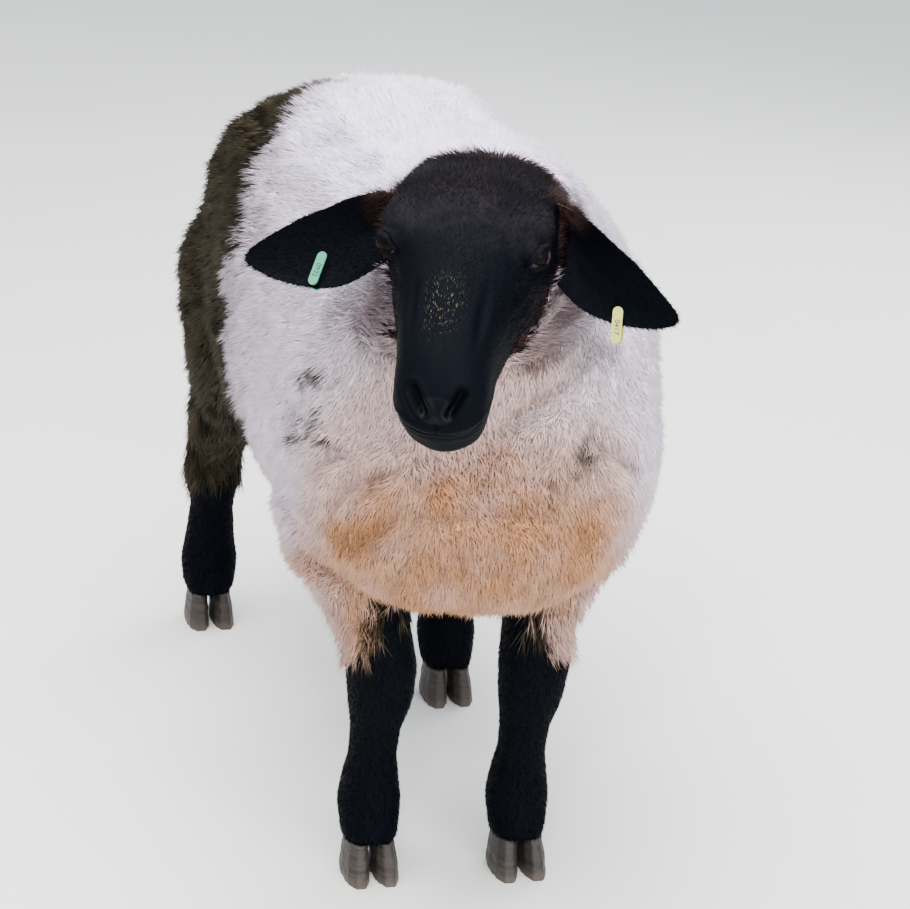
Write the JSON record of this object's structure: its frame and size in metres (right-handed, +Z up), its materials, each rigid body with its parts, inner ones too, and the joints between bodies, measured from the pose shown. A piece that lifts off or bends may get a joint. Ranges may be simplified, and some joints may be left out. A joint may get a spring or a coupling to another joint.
{
  "type": "sheep",
  "caption": "Life-size Suffolk sheep standing with its head turned to its right, with black face, ears and legs, a short cream fleece and two ear tags.",
  "frame": {"origin": "on the ground, under the centre of the bounding box", "axes": "+Z up, -Y towards the chest and head, +X towards the animal's left side"},
  "size_m": [0.4798, 1.0422, 0.8333],
  "materials": {
    "wool": "short dense cream fleece, pinkish white on the back, tan on the breast and muddy brown on the right rump",
    "hair": "skin with short flat black hair, bare and damp on the nose",
    "horn": "dark horn of the claws, worn and faintly ridged",
    "eye": "wet dark amber eye with a level pupil",
    "green_plastic": "moulded green plastic, slightly worn",
    "yellow_plastic": "moulded yellow plastic, slightly worn"
  },
  "bodies": {
    "root": {"shoulders": "wool", "barrel": "wool", "rump": "wool", "neck": "wool", "tail": "wool", "lower_jaw": "hair", "head": "hair", "eye_left": "eye", "ear_left": "hair", "ear_tag_left": "yellow_plastic", "eye_right": "eye", "ear_right": "hair", "ear_tag_right": "green_plastic", "upper_leg_front_right": "wool", "lower_leg_front_right": "hair", "pastern_front_right": "hair", "claw_right_front_right": "horn", "dewclaw_right_front_right": "horn", "claw_left_front_right": "horn", "dewclaw_left_front_right": "horn", "upper_leg_front_left": "wool", "lower_leg_front_left": "hair", "pastern_front_left": "hair", "claw_right_front_left": "horn", "dewclaw_right_front_left": "horn", "claw_left_front_left": "horn", "dewclaw_left_front_left": "horn", "upper_leg_hind_right": "wool", "lower_leg_hind_right": "hair", "pastern_hind_right": "hair", "claw_right_hind_right": "horn", "dewclaw_right_hind_right": "horn", "claw_left_hind_right": "horn", "dewclaw_left_hind_right": "horn", "upper_leg_hind_left": "wool", "lower_leg_hind_left": "hair", "pastern_hind_left": "hair", "claw_right_hind_left": "horn", "dewclaw_right_hind_left": "horn", "claw_left_hind_left": "horn", "dewclaw_left_hind_left": "horn"}
  },
  "joints": []
}
